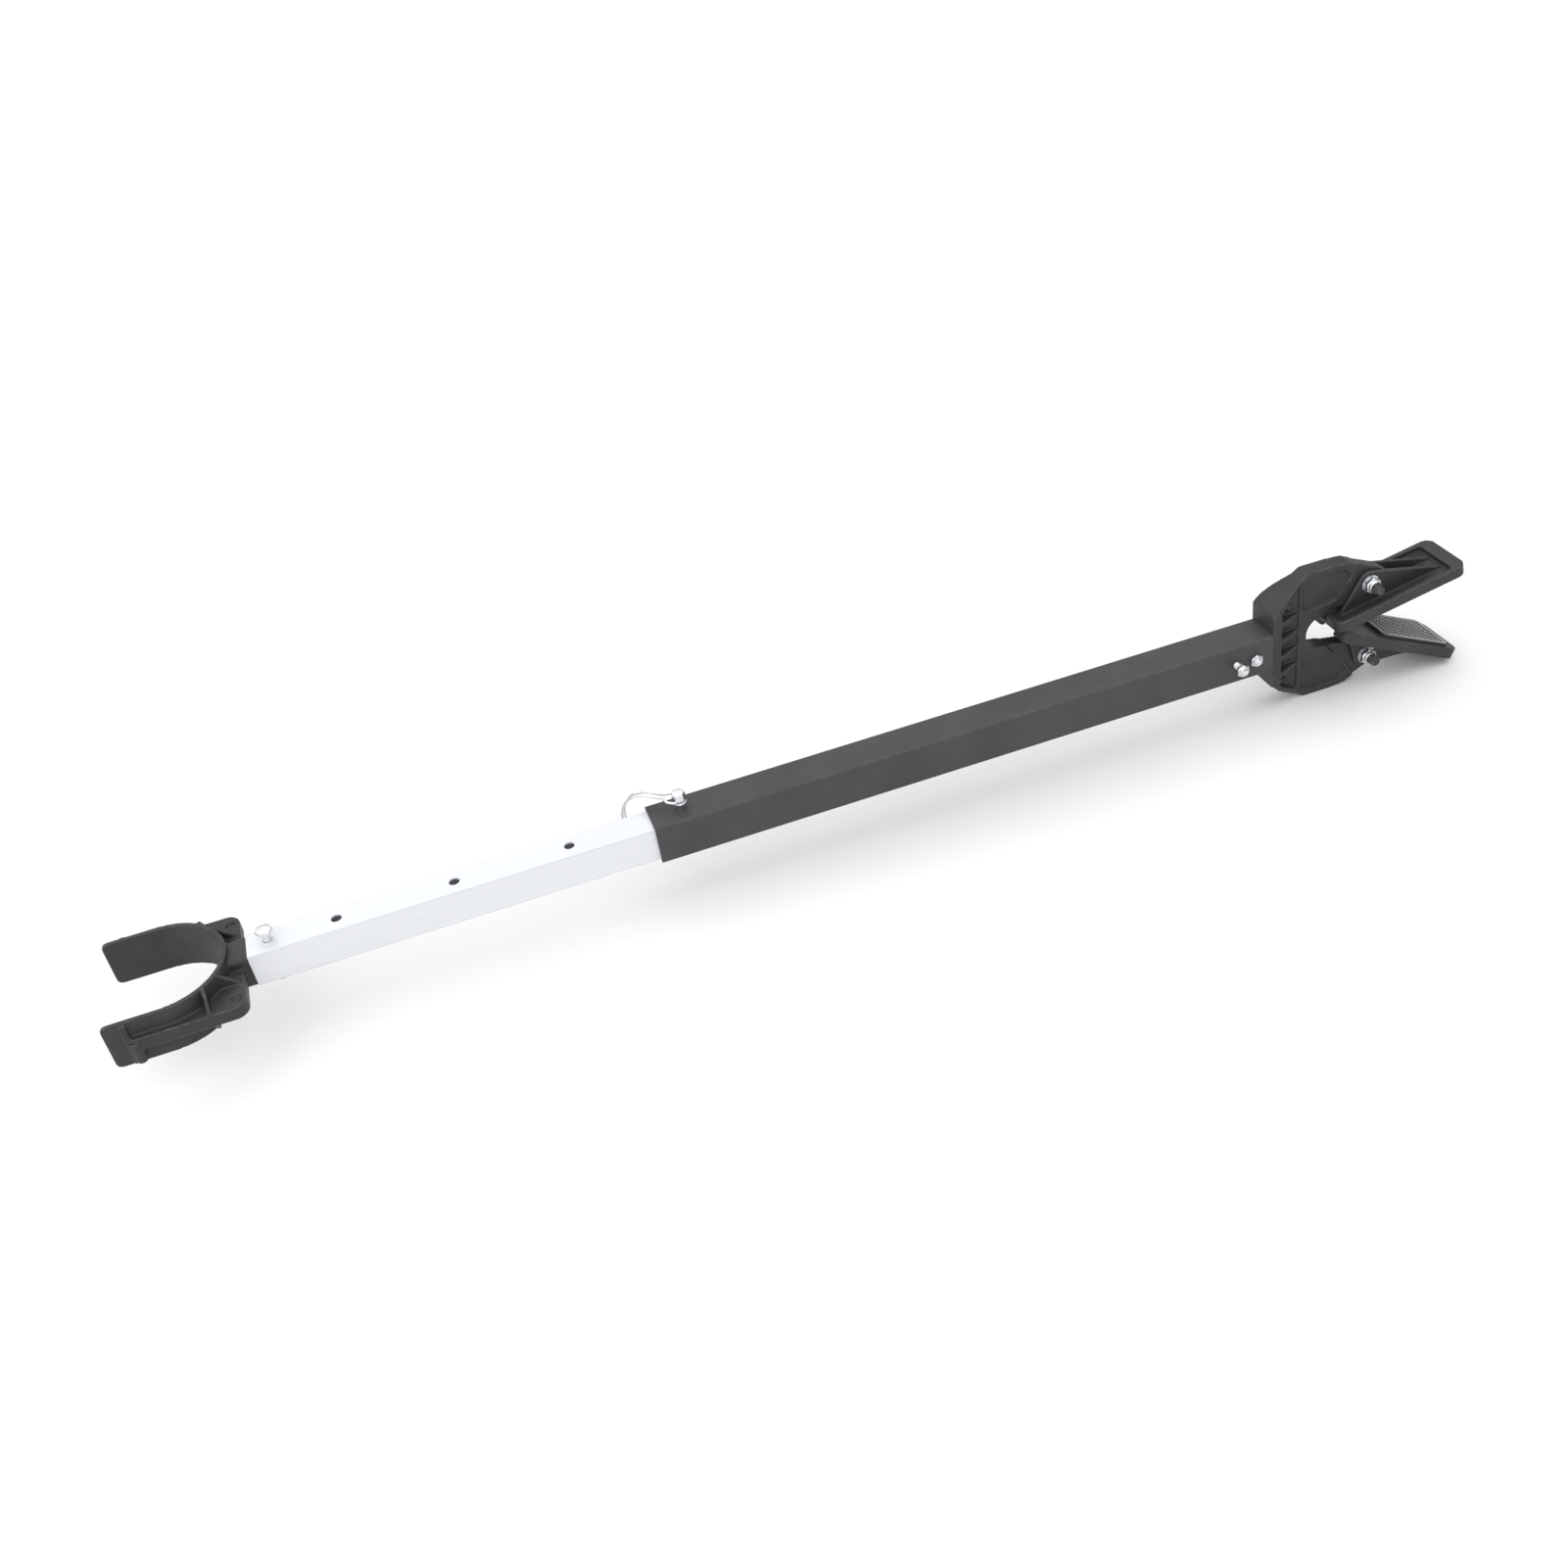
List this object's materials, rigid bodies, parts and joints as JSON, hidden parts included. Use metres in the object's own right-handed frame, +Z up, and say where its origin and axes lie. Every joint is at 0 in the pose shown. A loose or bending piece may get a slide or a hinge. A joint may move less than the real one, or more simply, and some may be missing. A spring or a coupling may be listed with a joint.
{
  "type": "telescoping outboard motor support bar",
  "caption": "Telescoping square-tube support bar with a U-shaped fork at one end, a claw head with two swivelling rubber-faced pads at the other, and a wire-bail lock pin.",
  "frame": {"origin": "centre of the U-shaped saddle of the fork, at mid height of its tines", "axes": "+X along the bar from the fork towards the claw head, +Y across the bar, +Z up out of the lock pin's head side"},
  "size_m": [1.2623, 0.1324, 0.133],
  "materials": {
    "black_powder_coat": "satin black powder coat on aluminium",
    "moulded_nylon": "fine-textured black glass-filled nylon",
    "silver_anodised": "bright satin silver anodised",
    "zinc_steel": "bright zinc plate",
    "dark_steel": "dull grey threaded steel",
    "grip_rubber": "moulded block-pattern rubber",
    "pale_nylon": "plain natural nylon"
  },
  "bodies": {
    "outer": {"outer_tube": "black_powder_coat", "jaw_frame": "moulded_nylon", "jaw_bolt_inboard": "zinc_steel", "jaw_bolt_outboard": "zinc_steel", "jaw_nut_inboard": "zinc_steel", "jaw_nut_outboard": "zinc_steel", "jaw_bolt_washers": "zinc_steel", "upper_pivot_bolt": "dark_steel", "lower_pivot_bolt": "dark_steel", "upper_pivot_nut": "zinc_steel", "lower_pivot_nut": "zinc_steel", "upper_pivot_washers": "zinc_steel", "lower_pivot_washers": "zinc_steel", "upper_pivot_bush": "pale_nylon", "lower_pivot_bush": "pale_nylon"},
    "inner": {"inner_tube": "silver_anodised", "inner_tube_plug": "moulded_nylon", "fork": "moulded_nylon", "fork_bolt": "zinc_steel", "fork_nut": "zinc_steel", "fork_washer": "zinc_steel"},
    "upper_jaw_pad": {"upper_pad": "moulded_nylon", "upper_grip": "grip_rubber"},
    "lower_jaw_pad": {"lower_pad": "moulded_nylon", "lower_grip": "grip_rubber"},
    "pin": {"lock_pin": "zinc_steel"},
    "bail": {"lock_bail": "zinc_steel"}
  },
  "joints": [
    {"name": "tube_slide", "type": "slide", "parent": "outer", "child": "inner", "axis": [1, 0, 0], "range_m": [-0.1016, 0.3048]},
    {"name": "upper_pad_swivel", "type": "hinge", "parent": "outer", "child": "upper_jaw_pad", "pos_m": [1.1233, 0, 0.0385], "axis": [0, -1, 0], "range_deg": [-7.5, 1.5]},
    {"name": "lower_pad_swivel", "type": "hinge", "parent": "outer", "child": "lower_jaw_pad", "pos_m": [1.1233, 0, -0.0385], "axis": [0, 1, 0], "range_deg": [-23, 1.5]},
    {"name": "pin_pull", "type": "slide", "parent": "outer", "child": "pin", "axis": [0, 0, 1], "range_m": [0, 0.052]},
    {"name": "bail_swing", "type": "hinge", "parent": "pin", "child": "bail", "pos_m": [0.453, 0, 0.0295], "axis": [0.6428, 0.766, 0], "range_deg": [0, 150]}
  ],
  "couplings": [
    {"joint": "pin_pull", "follows": "bail_swing", "m_per_rad": 0.019862}
  ]
}
